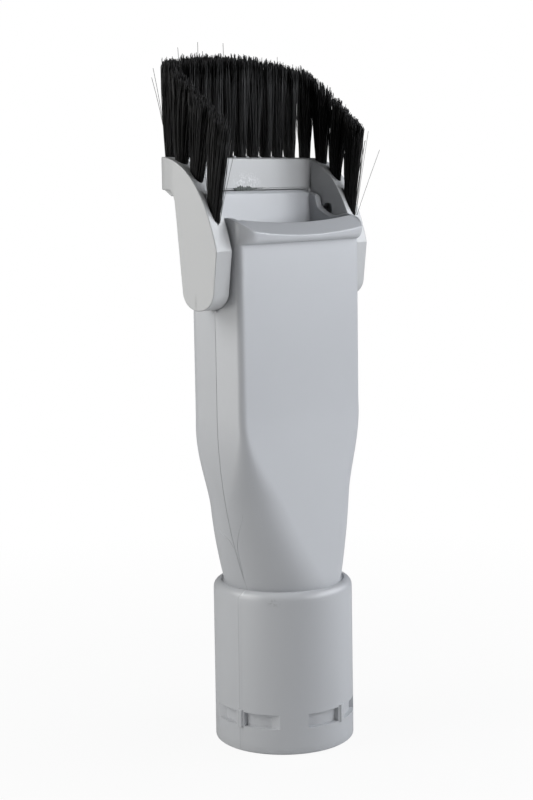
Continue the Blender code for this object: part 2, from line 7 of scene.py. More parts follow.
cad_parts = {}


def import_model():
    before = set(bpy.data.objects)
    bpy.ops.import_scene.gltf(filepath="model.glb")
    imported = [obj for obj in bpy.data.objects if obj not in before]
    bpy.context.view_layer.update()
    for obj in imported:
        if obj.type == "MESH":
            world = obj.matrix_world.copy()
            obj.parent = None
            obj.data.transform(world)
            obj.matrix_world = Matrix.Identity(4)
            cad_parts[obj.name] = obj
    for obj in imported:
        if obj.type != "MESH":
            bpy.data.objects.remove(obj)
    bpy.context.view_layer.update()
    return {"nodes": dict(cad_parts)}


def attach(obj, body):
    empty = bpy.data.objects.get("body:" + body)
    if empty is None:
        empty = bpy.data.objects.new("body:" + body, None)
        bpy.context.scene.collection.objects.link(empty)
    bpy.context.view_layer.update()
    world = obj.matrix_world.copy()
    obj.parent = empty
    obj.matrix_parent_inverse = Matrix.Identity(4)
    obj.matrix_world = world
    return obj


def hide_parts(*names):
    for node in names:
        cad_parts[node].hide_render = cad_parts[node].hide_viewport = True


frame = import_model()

# All shapes below are worked out in millimetres and made metres when the mesh is written.
MM = 0.001

# Collar and duct, as in the solids
COLLAR_R = 20.0
COLLAR_FLARE = 0.12
COLLAR_H = 46.5
SHOULDER = 2.2
SOCKET_R = 17.5
SOCKET_H = 41.0
SOCKET_RIM = 18.2
WINDOW_FOOT = 7.5
WINDOW_TOP = 11.6
WINDOW_EDGE = 0.12
WINDOW_DEPTH = 1.3
RIB_RISE = 0.55
RIB_SHIFT = 0.87
STRIP_RISE = 0.1
DUCT_FOOT_R = 16.9
DUCT_W = 29.0
DUCT_D = 8.75
DUCT_CORNER = 2.0
WALL = 2.0
TRANSITION = 50.5
TRANSITION_TOP = COLLAR_H + TRANSITION
MOUTH_TOP = 158.0
RIM_TOP = 157.6
RIM_INSIDE = 156.85
SIDE_DRAFT = 0.045

# Mouth
FLARE = 1.65
FLARE_LENGTH = 26.0
NOTCH = 149.7
LIP_TOP = 149.05
LIP_BOW = 1.7
LIP_SLOPE = 0.70
LIP_CREASE = 143.5
LIP_REACH = 3.2
LIP_SETBACK = 0.25
LIP_HALF = 27.0
LIP_END = 25.5
LIP_END_BACK = 2.0
LIP_END_SLOPE = 0.33
RAMP_RUN = 5.4
RAMP_RISE = 3.0
STEP_FOOT = 5.1
STEP_RUN = 1.05
STEP_RISE = 3.25
RIM_SLOPE = 1.07
RIM_DIP = 0.5
LEDGE_REACH = 2.2
LEDGE_FOOT = 151.3
SEAT_R = math.hypot(DUCT_D, 26.5)

# Hinge and frame
PIVOT_Z = 131.5
PIVOT_R = 3.0
PIVOT_ROOT = 27.9
PIVOT_END = 33.3
PIVOT_CHAMFER = 0.6
EAR_INNER = 29.3
EAR_OUTER = 36.0
EAR_MID = (EAR_INNER + EAR_OUTER) / 2
EAR_END_R = 5.4
EAR_KINK = (-6.55, 142.0)
FRAME_CORNER = 8.5
BAND_FRONT = 9.65
BAND_BACK = 16.2
BAND_MID = (BAND_FRONT + BAND_BACK) / 2
BAND_BASE = 158.3
BAND_TOP = 167.1
UNDER_ROUND = 1.2

# Ridges of the mould lines
RIDGE_R = 0.11
RIDGE_SUNK = 0.03

# Bristles
STRAND_R = 0.09
STRAY_R = 0.85 * STRAND_R
STRANDS = 300
CLUMPS = 24
CLUMP_PULL = 0.45
SWAY = 0.28
LONG_SHARE = 0.03
HOLE_R = 1.7
ROOT_SUNK = 3.6
TUFT_R = 1.6
BACK_PITCH = 6.0
SIDE_PITCH = 5.1
CORNER_TUFT = (31.0, 12.35)
TRIM_TOP = 194.7
TRIM_CROWN = 2.3
TRIM_SLOPE = 0.86

# Studio, in metres
BOX_SIZE = 0.3
FLOOR_R = 40.0
FLOOR_GREY = 0.53
WHITE_AT_FOOT = 0.93
SURROUNDINGS = 0.012


def smooth(t):
    """Step from 0 to 1, flat at both ends: 3t^2 - 2t^3 on t held between 0 and 1."""
    t = np.clip(t, 0.0, 1.0)
    return t * t * (3.0 - 2.0 * t)


def mix(a, b, t):
    """Straight line from a to b."""
    return a + (b - a) * t


def grid_faces(rows, columns, closed_rows):
    """Quads of a grid whose columns close on themselves, and its rows too if asked."""
    row = np.arange(rows if closed_rows else rows - 1)[:, None]
    column = np.arange(columns)[None, :]
    after_row = (row + 1) % rows
    after = (column + 1) % columns
    quads = np.stack([row * columns + column, row * columns + after,
                      after_row * columns + after, after_row * columns + column], axis=-1)
    return [tuple(quad) for quad in quads.reshape(-1, 4).tolist()]


def capped(rows):
    """Points and faces of a closed form through rings, an array of shape (rings, columns, 3)."""
    rings, columns = rows.shape[:2]
    faces = grid_faces(rings, columns, False)
    faces.append(tuple(range(columns - 1, -1, -1)))
    faces.append(tuple(range((rings - 1) * columns, rings * columns)))
    return rows.reshape(-1, 3), faces


def joined(forms):
    """Points and faces of several forms, each a pair of its own points and faces, as one form."""
    points, faces = np.zeros((0, 3)), []
    for more, added in forms:
        faces += [tuple(index + len(points) for index in face) for face in added]
        points = np.concatenate([points, more])
    return points, faces


def new_piece(name, points, faces, body, material, slot=None, replaces=(), sharp=None, values=None):
    """Mesh piece from points in millimetres, on a body, with per-point values as attributes."""
    mesh = bpy.data.meshes.new(name)
    mesh.from_pydata((np.asarray(points, float).reshape(-1, 3) * MM).tolist(), [], faces)
    mesh.update()
    for label, data in (values or {}).items():
        attribute = mesh.attributes.new(label, "FLOAT", "POINT")
        attribute.data.foreach_set("value", np.asarray(data, np.float32).ravel())
    mesh.shade_smooth()
    if sharp:
        mesh.set_sharp_from_angle(angle=math.radians(sharp))
    piece = bpy.data.objects.new(name, mesh)
    bpy.context.scene.collection.objects.link(piece)
    piece.data.materials.append(material)
    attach(piece, body)
    if replaces:
        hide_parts(*replaces)
    return piece


# Materials

class Wire:
    """A node's output that arithmetic can use; each operation adds its Math node."""

    def __init__(self, finish, socket):
        self.finish = finish
        self.socket = socket

    def math(self, operation, *values):
        return self.finish.node("ShaderNodeMath", {"operation": operation}, dict(enumerate(values)))

    def __add__(self, other):
        return self.math("ADD", self, other)

    def __radd__(self, other):
        return self.math("ADD", other, self)

    def __sub__(self, other):
        return self.math("SUBTRACT", self, other)

    def __rsub__(self, other):
        return self.math("SUBTRACT", other, self)

    def __mul__(self, other):
        return self.math("MULTIPLY", self, other)

    def __rmul__(self, other):
        return self.math("MULTIPLY", other, self)

    def __truediv__(self, other):
        return self.math("DIVIDE", self, other)

    def __abs__(self):
        return self.math("ABSOLUTE", self)

    def clipped(self):
        """Held between 0 and 1."""
        return self.math("MAXIMUM", self.math("MINIMUM", self, 1.0), 0.0)


class Finish:
    """A material under construction: its Principled shader and the nodes behind it."""

    def __init__(self, name, **fixed):
        self.material = bpy.data.materials.new(name)
        self.material.use_nodes = True
        self.tree = self.material.node_tree
        self.shader = self.tree.nodes["Principled BSDF"]
        for label, value in fixed.items():
            self.shader.inputs[label.replace("_", " ")].default_value = value

    def node(self, kind, settings=None, inputs=None, output=0):
        """Any node, with its settings and its inputs' values or wires; gives the named output."""
        node = self.tree.nodes.new(kind)
        for label, value in (settings or {}).items():
            setattr(node, label, value)
        for label, value in (inputs or {}).items():
            self.feed(node.inputs[label], value)
        return Wire(self, node.outputs[output])

    def feed(self, socket, value):
        if isinstance(value, Wire):
            self.tree.links.new(value.socket, socket)
        else:
            socket.default_value = value

    def drive(self, label, value):
        self.feed(self.shader.inputs[label], value)

    def place(self):
        """Object coordinates as three wires, in millimetres."""
        coordinates = self.node("ShaderNodeTexCoord", output="Object")
        parts = {"Vector": coordinates}
        return coordinates, [self.node("ShaderNodeSeparateXYZ", None, parts, axis) * 1000.0
                             for axis in range(3)]

    def noise(self, vector, scale, detail):
        """Noise of a scale in waves to the metre."""
        return self.node("ShaderNodeTexNoise", None, {"Vector": vector, "Scale": scale, "Detail": detail})

    def blend(self, factor, first, second):
        """Colour that goes from the first to the second with the factor."""
        return self.node("ShaderNodeMix", {"data_type": "RGBA"},
                         {"Factor": factor, 6: first, 7: second}, 2)

    def bump(self, height, distance, strength):
        """Normal from a height, its distance in millimetres."""
        return self.node("ShaderNodeBump", None,
                         {"Height": height, "Distance": distance * MM, "Strength": strength})


def near(value, centre, half):
    """1 where a wire is at the centre, falling straight to 0 at half either side."""
    return (1.0 - abs(value - centre) / half).clipped()


def moulded_plastic(name, colour, shade, lines):
    """Satin moulded polypropylene: faint flow clouds, fine grain, and the marks its lines give, which on
    the frame include painted shade.
    """
    finish = Finish(name, IOR=1.49, Specular_IOR_Level=0.65)
    place, (x, y, z) = finish.place()
    clouds = finish.noise(place, 38.0, 3.0)
    fine = finish.noise(place, 900.0, 2.0)
    grain = finish.noise(place, 2600.0, 1.0)
    dark, light = lines(finish, place, x, y, z)
    tone = finish.blend(clouds, (*[c * (1 - shade) for c in colour], 1.0),
                        (*[min(1.0, c * (1 + shade)) for c in colour], 1.0))
    # dark marks: parting line and smudge on the body, painted shade of the sink mark on the frame
    marked_and_shaded = finish.blend(dark, tone, (*[c * 0.45 for c in colour], 1.0))
    finish.drive("Base Color", finish.blend(light, marked_and_shaded, (0.8, 0.8, 0.81, 1.0)))
    finish.drive("Roughness", 0.27 + clouds * 0.06 + fine * 0.05)
    finish.drive("Normal", finish.bump(grain, 0.03, 0.2))
    return finish


def body_lines(finish, place, x, y, z):
    """Parting line down both sides, a smudge under the shoulder, and a nick of light on it."""
    side = ((abs(x) - 15.0) / 1.0).clipped()
    low = ((46.0 - z) / 1.5).clipped() * ((0.0 - x) / 1.0).clipped()
    parting = near(y - low * RIB_SHIFT, 0.0, 0.2) * side * 0.34
    broken = ((finish.noise(place, 1400.0, 3.0) - 0.45) * 6.0).clipped()
    smudge = near(x, -17.6, 1.9) * near(y, -9.5, 2.6) * near(z, 43.9, 1.6) * broken * 0.5
    nick = near(y, -0.3, 0.45) * near(z, 45.9, 0.9) * ((0.0 - x - 15.0) / 1.0).clipped()
    return (parting + smudge).clipped(), nick * 0.5


def frame_lines(finish, place, x, y, z):
    """Painted shade of a shallow sink mark low on the left ear's outer face, and pale scuffs on the band
    above the seam.
    """
    left = ((0.0 - x - 35.0) / 0.5).clipped()
    # painted shade where a shallow sink mark dents the ear; the dent itself is not built
    sink_shade = near(y, 0.8, 0.55) * near(z, 128.2, 3.0) * left * 0.45
    streaks = ((finish.noise(place, 1700.0, 3.0) - 0.48) * 9.0).clipped()
    scuff = (near(x, -1.5, 7.5) * 1.6).clipped() * near(z, 160.0, 3.4) * near(y, 9.65, 0.4) * streaks
    return sink_shade, scuff * 0.75


def bristle_finish():
    """Black filament: greyer at the cut tips, a painted highlight for light caught by the cut ends; each
    strand its own shade, pale where that passes 1.
    """
    finish = Finish("bristle_filament", IOR=1.5, Specular_IOR_Level=0.35)
    along = finish.node("ShaderNodeAttribute", {"attribute_name": "along"}, output="Fac")
    shade = finish.node("ShaderNodeAttribute", {"attribute_name": "strand"}, output="Fac")
    # painted highlight: the cut tips are greyed where their cut ends catch the light
    tip = ((along - 0.975) * 40.0).clipped()
    dark = finish.blend(shade, (0.002, 0.002, 0.0022, 1.0), (0.012, 0.0118, 0.012, 1.0))
    pale = finish.blend((shade - 1.0).clipped(), dark, (0.24, 0.235, 0.23, 1.0))
    finish.drive("Base Color", finish.blend(tip * 0.5, pale, (0.06, 0.058, 0.06, 1.0)))
    finish.drive("Roughness", 0.4 + shade * 0.2)
    return finish


def metal_finish():
    """Bright drawn strip of the anchors, faintly streaked."""
    finish = Finish("anchor_strip", Metallic=1.0)
    place, _ = finish.place()
    streaks = finish.noise(place, 700.0, 2.0)
    finish.drive("Base Color", finish.blend(streaks, (0.55, 0.53, 0.48, 1.0), (0.68, 0.66, 0.6, 1.0)))
    finish.drive("Roughness", 0.28 + streaks * 0.12)
    return finish


def shaded_flash_finish():
    """Dull torn plastic of the seam's flash, specked dark and pale; its dark tone is partly the lint's own
    and partly painted shade of the seam it hangs in.
    """
    finish = Finish("seam_flash")
    place, _ = finish.place()
    specks = finish.noise(place, 1500.0, 2.0)
    # dark specks: partly the lint's own tone, partly painted shade of the seam the flash hangs in
    finish.drive("Base Color", finish.blend(specks, (0.03, 0.035, 0.03, 1.0), (0.22, 0.24, 0.23, 1.0)))
    finish.drive("Roughness", 0.8 + specks * 0.1)
    return finish


# The nozzle's moulding

# Columns to a quarter turn, and for each wall the angle that a column stands at; then the radius and
# height of the rings on the foot's rim, and the radius and drop of those in the groove on top.
QUADRANT = 80
COLLAR_KNOTS = [(0, 0), (2, 1.5), (5, 4.01), (7, 4.3), (26, 25.6), (34, 32.4), (50, 56.0), (52, 56.4),
                (74, 85.7), (76, 85.99), (80, 90)]
DUCT_KNOTS = [(0, 0), (12, 30), (24, 36.5), (44, 47.6), (80, 90)]
INNER_KNOTS = [(0, 0), (12, 35.1), (24, 42.06), (27, 43.25), (41, 45.42), (44, 46.0), (80, 90)]
RIM_RINGS = [(SOCKET_RIM, 0.0), (19.1, 0.0), (19.45, 0.0), (19.75, 0.09), (20.0, 0.3)]
GROOVE_RINGS = [(17.9, 0.0), (17.75, 0.05), (17.6, 0.3), (17.3, 0.36), (16.93, 0.3)]


def column_angles(knots):
    """Angles of all columns: straight between the knots of one quadrant, mirrored into the others."""
    steps, angles = np.array(knots, float).T
    quarter = np.interp(np.arange(QUADRANT), steps, angles)
    mirrored = np.interp(QUADRANT - np.arange(QUADRANT), steps, angles)
    return np.radians(np.concatenate([quarter, 180 - mirrored, 180 + quarter, 360 - mirrored]))


def section(angle, width, front, back, corner):
    """Where a ray at each angle meets a rounded rectangle.

    The ray runs along (width cos, depth sin). It meets the side where its stretch is 1 / cos, the
    face where it is 1 / sin, and within a corner the larger root of its meeting with the circle.
    """
    cos, sin = np.cos(angle), np.sin(angle)
    depth = np.where(sin < 0, front, back)
    dx, dy = width * np.abs(cos), depth * np.abs(sin)
    stretch = 1.0 / np.maximum(np.abs(cos), np.abs(sin))
    cx, cy = width - corner, depth - corner
    square, dot = dx * dx + dy * dy, dx * cx + dy * cy
    root = np.sqrt(np.maximum(dot * dot - square * (cx * cx + cy * cy - corner * corner), 0.0))
    rounded = (stretch * dx > cx) & (stretch * dy > cy)
    stretch = np.where(rounded, (dot + root) / square, stretch)
    return stretch * width * cos, stretch * depth * sin


def duct(z):
    """Half width, half depth, back half depth and corner of the duct's outside at a height.

    With u the part of the transition still to go, the width is 29 - 12.1 u^2 and the depth
    8.75 + 8.15 u^1.5; the corner goes from the depth to 2 as a smooth step.
    """
    left = 1.0 - np.clip((z - COLLAR_H) / TRANSITION, 0.0, 1.0)
    width = DUCT_W - (DUCT_W - DUCT_FOOT_R) * left ** 2
    depth = DUCT_D + (DUCT_FOOT_R - DUCT_D) * left ** 1.5
    corner = mix(depth, DUCT_CORNER, smooth((0.55 - left) / 0.5))
    back = depth + FLARE * smooth((z - MOUTH_TOP + FLARE_LENGTH) / FLARE_LENGTH)
    return width, depth, back, np.minimum(corner, depth)


def outer_wall(angle, z):
    """Outside of the duct; the sides lean in from the parting line by the mould's draft."""
    width, depth, back, corner = duct(z)
    x, y = section(angle, width, depth, back, corner)
    return x * (1.0 - SIDE_DRAFT * np.abs(y) / DUCT_W * smooth((z - 58.0) / 25.0)), y


def inner_wall(angle, z):
    """Inside of the duct: the same section drawn in by the wall."""
    width, depth, back, corner = duct(z)
    return section(angle, width - WALL, depth - WALL, back - WALL, np.maximum(corner - WALL, 0.4))


def mouth_edge(x, y):
    """Height of the mouth's edge over a plan point.

    In front the lip falls outwards from a bowed inner edge that runs further back at its ends.
    Along the sides the edge is level, rises as a curve, steps up and climbs to the back; its
    outside leads by a little and stands higher. The back rim has a chamfer inside and dips at its
    ends, and behind it the seat is a cylinder round the hinge.
    """
    span = np.abs(x)
    end = smooth((span - LIP_END) / (DUCT_W - LIP_END))
    lip_inner = -DUCT_D + WALL + LIP_END_BACK * end
    bowed = LIP_TOP + LIP_BOW * (x / DUCT_W) ** 2
    front = bowed - (LIP_SLOPE - LIP_END_SLOPE * end) * (lip_inner - y)
    out = np.clip((span - DUCT_W + WALL) / WALL, 0.0, 1.0)
    level = mix(NOTCH + 0.34 * out, bowed, smooth(y / lip_inner))
    run = y + 0.6 * out
    ramp = NOTCH + 0.25 * out + RAMP_RISE * np.clip(run / RAMP_RUN, 0.0, 1.0) ** 1.6
    ramp = ramp + STEP_RISE * smooth((run - STEP_FOOT) / STEP_RUN) + 0.3 * np.clip(run - 6.1, 0.0, 2.6)
    seat = PIVOT_Z + np.sqrt(np.maximum(SEAT_R ** 2 - y * y, 0.0))
    dip = smooth((span - 24.3) / 3.2)
    rim = np.minimum(RIM_TOP, RIM_INSIDE + RIM_SLOPE * (y - DUCT_D - FLARE + WALL))
    rim = rim - RIM_DIP * dip * smooth((DUCT_D + FLARE - y) / 1.2)
    edge = np.where(y < lip_inner, front, np.where(y < 0.0, level, ramp))
    return np.where(y > DUCT_D - 0.36, np.minimum(seat, rim), edge)


def toward(start, end, distance):
    """Point on the way from start to end, at a distance that never passes two fifths of it."""
    way = end - start
    length = np.maximum(np.linalg.norm(way, axis=-1, keepdims=True), 1e-6)
    return start + way * np.minimum(distance / length, 0.4)


def rounded_edge(before, edge, after, radius, steps):
    """Rows of a quadratic curve that rounds an edge between two rows of points."""
    start, end = toward(edge, before, radius), toward(edge, after, radius)
    shares = np.linspace(0.0, 1.0, steps)[:, None, None]
    return (1 - shares) ** 2 * start + 2 * shares * (1 - shares) * edge + shares ** 2 * end


def collar_rows(angle):
    """Outside of the collar from its rim to its shoulder.

    A turned profile, less the shallow windows where both their angle and height masks are 1, plus
    the ribs between them and the parting strip.
    """
    heights = np.array([0.7, 2.5, 4.5, 6.2, 7.0, 7.2, 7.5, 7.62, 8.4, 9.55, 10.7, 11.48, 11.6, 12.0, 12.2,
                        13.0, 15.0, 18.0, 21.0, 24.0, 27.0, 30.0, 33.0, 36.0, 39.0, 41.5, 43.2, 44.3])
    z = heights[:, None]
    fold = np.degrees(np.abs((angle + np.pi / 2) % np.pi - np.pi / 2))[None, :]
    side = np.interp(fold, [4.01, 4.3, 25.6, 32.4], [0, 1, 1, 0])
    front = np.interp(fold, [56.0, 56.4, 85.7, 85.99], [0, 1, 1, 0])
    window = WINDOW_DEPTH * (side + front) * np.interp(
        z, [WINDOW_FOOT, WINDOW_FOOT + WINDOW_EDGE, WINDOW_TOP - WINDOW_EDGE, WINDOW_TOP], [0, 1, 1, 0])
    rib = np.interp(fold, [2.34, 3.17, 86.83, 87.66], [1, 0, 0, 1])
    rib = rib * np.interp(z, [WINDOW_FOOT - 0.5, WINDOW_FOOT - 0.3, WINDOW_TOP + 0.4, WINDOW_TOP + 0.6],
                          [0, 1, 1, 0])
    strip = np.interp(fold, [1.5, 2.2], [1, 0])
    strip = strip * np.interp(z, [0.7, 2.5, 43.2, 44.3], [0, 1, 1, 0])
    radius = COLLAR_R + COLLAR_FLARE * (1 - z / COLLAR_H) - window + RIB_RISE * rib + STRIP_RISE * strip
    return radius, z + 0.0 * radius


def body_rows():
    """All rows of the moulding, from the rim up the outside, over the mouth and down the inside."""
    collar = column_angles(COLLAR_KNOTS)
    outer = column_angles(DUCT_KNOTS)
    inner = column_angles(INNER_KNOTS)
    count = len(collar)
    shifted = collar - RIB_SHIFT / COLLAR_R * smooth(1.6 - np.abs(collar - np.pi) / 0.35)
    rows = []

    def ring(radius, z, turn=collar):
        """Round row of one radius, or of one for each column, at a height."""
        radius = np.broadcast_to(radius, (count,))
        rows.append(np.stack([radius * np.cos(turn), radius * np.sin(turn),
                              np.broadcast_to(z, (count,))], axis=-1))

    for radius, z in RIM_RINGS:
        ring(radius, z)
    for radius, z in zip(*collar_rows(collar)):
        ring(radius, z, shifted)
    for turn in np.radians([15, 30, 45, 60, 75, 90]):
        ring(COLLAR_R - SHOULDER * (1 - math.cos(turn)), COLLAR_H - SHOULDER * (1 - math.sin(turn)))
    for radius, drop in GROOVE_RINGS:
        ring(radius, COLLAR_H - drop)

    def sleeve(wall, shape, heights, low, high):
        """Rings of a wall; its columns go from the collar's angles at low to their own at high."""
        for z in heights:
            share = smooth((z - low) / (high - low))
            x, y = wall(mix(collar, shape, share), z)
            rows.append(np.stack([x, y, np.full(count, z)], axis=-1))

    sleeve(outer_wall, outer, np.linspace(COLLAR_H + 0.12, TRANSITION_TOP, 46), 52.0, 85.0)
    rows += mouth_rows(outer, inner)
    top = rows[-1]
    for share in np.linspace(0.06, 1.0, 14)[:-1]:
        z = mix(top[:, 2], TRANSITION_TOP, share)
        x, y = inner_wall(inner, z)
        rows.append(np.stack([x, y, z], axis=-1))
    sleeve(inner_wall, inner, np.linspace(TRANSITION_TOP, COLLAR_H, 26), 52.0, 90.0)
    for z in (44.5, 43.1):
        ring(DUCT_FOOT_R - WALL, z)
    for z in (SOCKET_H, 40.6, 32.0, 22.0, 12.0, 2.0, 0.75):
        ring(SOCKET_R, z)
    return np.array(rows)


def mouth_rows(outer, inner):
    """Rows from the straight duct over the mouth's edge to the inner wall.

    The front bulges to the lip along a quarter ellipse from the crease to the lip's edge. The back
    goes out along a slope to the seat ledge and straight up. The sides go straight up. Each column
    takes its share of the three from the direction that its wall faces; the lip bends back at both
    ends.
    """
    trial = np.full(len(outer), 150.0)
    width, depth, back, corner = duct(trial)
    x, y = outer_wall(outer, trial)
    near_x = np.clip(x, corner - width, width - corner)
    near_y = np.clip(y, corner - depth, back - corner)
    facing = np.stack([x - near_x, y - near_y], axis=-1)
    facing /= np.maximum(np.linalg.norm(facing, axis=-1, keepdims=True), 1e-9)
    forward = np.maximum(-facing[:, 1], 0.0)
    backward = np.maximum(facing[:, 1], 0.0)
    reach = LIP_REACH - LIP_SETBACK * (np.clip(np.abs(x), 0.0, LIP_HALF) / LIP_END) ** 2
    reach = reach * forward ** 0.5 * (1.0 - 0.6 * np.clip((np.abs(x) - 25.6) / 2.2, 0.0, 1.0))
    behind = backward > 0.0
    square = facing / np.maximum(np.abs(facing).max(axis=-1, keepdims=True), 1e-9)
    ledge_x = near_x + corner * square[:, 0]
    ledge_y = near_y + (corner + LEDGE_REACH) * square[:, 1]

    def bulge(z, lip, ledge):
        """Row of the wall at given heights, pushed out by its shares of the lip and of the ledge."""
        wall_x, wall_y = outer_wall(outer, z)
        out = reach * lip
        front_x, front_y = wall_x + 0.2 * out * facing[:, 0], wall_y - out * forward
        return np.stack([np.where(behind, mix(wall_x, ledge_x, ledge), front_x),
                         np.where(behind, mix(wall_y, ledge_y, ledge), front_y), z], axis=-1)

    tip_z = trial
    for _ in range(2):
        tip = bulge(tip_z, 1.0, 1.0)
        tip_z = mouth_edge(tip[:, 0], tip[:, 1])
    tip[:, 2] = tip_z
    start = mix(LIP_CREASE, LEDGE_FOOT, smooth(backward))
    rows = []
    for share in np.linspace(0.0, 1.0, 22)[1:]:
        rows.append(bulge(mix(TRANSITION_TOP, start, share), 0.0, 0.0))
    ledge_top = LEDGE_FOOT + LEDGE_REACH
    for share in np.linspace(0.0, 0.93, 13)[1:]:
        turn = share * math.pi / 2
        plain = mix(start, tip_z, share)
        lipped = mix(LIP_CREASE, tip_z, 1.0 - math.cos(turn))
        sloped = mix(LEDGE_FOOT, ledge_top, min(share / 0.4, 1.0))
        sloped = mix(sloped, tip_z, max(share - 0.4, 0.0) / 0.6)
        z = mix(mix(plain, lipped, smooth(forward)), sloped, smooth(backward))
        rows.append(bulge(z, math.sin(turn) ** 0.6, min(share / 0.4, 1.0)))
    inside_z = trial
    for _ in range(3):
        inside_x, inside_y = inner_wall(inner, inside_z)
        inside_z = mouth_edge(inside_x, inside_y)
    inside = np.stack([inside_x, inside_y, inside_z], axis=-1)
    below_x, below_y = inner_wall(inner, inside_z - 3.0)
    below = np.stack([below_x, below_y, inside_z - 3.0], axis=-1)
    lip = forward[:, None]
    rows += list(rounded_edge(rows[-1], tip, inside, mix(0.25, 0.55, lip), 5))
    first, last = rows[-1], toward(inside, tip, mix(0.75, 2.2, lip))
    last[:, 2] = mouth_edge(last[:, 0], last[:, 1])
    for share in np.linspace(0.0, 1.0, 9)[1:-1]:
        step = mix(first, last, share)
        step[:, 2] = mouth_edge(step[:, 0], step[:, 1])
        rows.append(step)
    rows += list(rounded_edge(last, inside, below, mix(0.35, 0.8, lip), 6))
    return rows


def pivot_shell(side):
    """One pivot pin: a round bar along X with a chamfered end, rooted inside the duct's wall."""
    turns = np.linspace(0.0, 2 * np.pi, 48, endpoint=False)
    profile = [(PIVOT_ROOT, PIVOT_R), (DUCT_W - 0.4, PIVOT_R), (PIVOT_END - PIVOT_CHAMFER, PIVOT_R),
               (PIVOT_END, PIVOT_R - PIVOT_CHAMFER)]
    return capped(np.array([np.stack([np.full(len(turns), side * along), side * radius * np.cos(turns),
                                      PIVOT_Z + radius * np.sin(turns)], axis=-1)
                            for along, radius in profile]))


def build_body(material):
    """The nozzle's moulding: one closed skin from its rows, and the two pivots set into it."""
    rows = body_rows()
    skin = rows.reshape(-1, 3), grid_faces(rows.shape[0], rows.shape[1], True)
    points, faces = joined([skin, pivot_shell(1), pivot_shell(-1)])
    return new_piece("nozzle_moulding", points, faces, "nozzle", material, "body_grey",
                     ("nozzle_body",), 28)


# Mould lines: height and distance back of each stroke on the duct's side, from the photograph.
STROKES = [[(0.0, 48.2), (0.0, 57.8), (0.0, 74.0), (0.0, 97.0), (0.0, 126.0)],
           [(6.0, 64.2), (3.0, 62.8), (1.2, 61.3), (0.2, 58.8)],
           [(-4.9, 70.1), (-3.6, 66.6), (-2.3, 63.7), (-1.2, 60.7), (-0.6, 57.0), (-0.15, 50.0)]]


def duct_side(y, z):
    """X of the duct's outside over a place on its side, found on the section's own curve."""
    width, depth, _, corner = duct(z)
    past = np.maximum(np.abs(y) - (depth - corner), 0.0)
    flat = width - corner + np.sqrt(np.maximum(corner ** 2 - past ** 2, 0.0))
    return flat * (1.0 - SIDE_DRAFT * np.abs(y) / DUCT_W * smooth((z - 58.0) / 25.0))


def tube(path, radius, sides=6):
    """One closed tube along a path: rings across the two directions square to its run."""
    run = np.gradient(path, axis=0)
    run /= np.linalg.norm(run, axis=1, keepdims=True)
    first = np.cross(run, [0.0, 1.0, 0.03])
    first /= np.linalg.norm(first, axis=1, keepdims=True)
    second = np.cross(run, first)
    turns = np.linspace(0.0, 2 * np.pi, sides, endpoint=False)[None, :, None]
    thick = np.broadcast_to(radius, (len(path),))[:, None, None]
    return capped(path[:, None] + thick * (np.cos(turns) * first[:, None]
                                           + np.sin(turns) * second[:, None]))


def build_mould_lines(material):
    """Fine ridges left by the mould's parts on both sides of the duct, half sunk in its skin."""
    ridges = []
    for side in (-1, 1):
        for stroke in STROKES:
            y, z = np.array(stroke).T
            shares = np.linspace(0.0, len(stroke) - 1.0, 12 * len(stroke))
            y = np.interp(shares, np.arange(len(stroke)), y)
            z = np.interp(shares, np.arange(len(stroke)), z)
            path = np.stack([side * (duct_side(y, z) - RIDGE_SUNK), y, z], axis=-1)
            taper = np.minimum(1.0, np.minimum(shares, len(stroke) - 1.0 - shares) * 3.0 + 0.25)
            ridges.append(tube(path, RIDGE_R * taper))
    return new_piece("mould_lines", *joined(ridges), "nozzle", material, "body_grey")


# The brush frame

def ball(centre, radii, rows=10, columns=16):
    """Closed ellipsoid: rings at even turns from pole to pole, each pole one point."""
    down = np.linspace(0.0, np.pi, rows + 1)[1:-1, None]
    turn = np.linspace(0.0, 2 * np.pi, columns, endpoint=False)[None, :]
    rings = np.stack([np.sin(down) * np.cos(turn), np.sin(down) * np.sin(turn),
                      np.cos(down) + 0.0 * turn], axis=-1).reshape(-1, 3)
    points = np.concatenate([rings, [[0, 0, 1], [0, 0, -1]]]) * np.array(radii) + np.array(centre)
    faces = [face[::-1] for face in grid_faces(rows - 1, columns, False)]
    top, bottom, last = len(rings), len(rings) + 1, (rows - 2) * columns
    for step in range(columns):
        after = (step + 1) % columns
        faces.append((top, step, after))
        faces.append((bottom, last + after, last + step))
    return points, faces


def build_gate_nub(material):
    """Stub where the moulding was cut from its runner, under the left ear's round end."""
    nub = ball((-29.95, -0.35, 125.95), (0.62, 0.6, 0.55))
    return new_piece("gate_nub", *nub, "brush", material, "frame_grey")


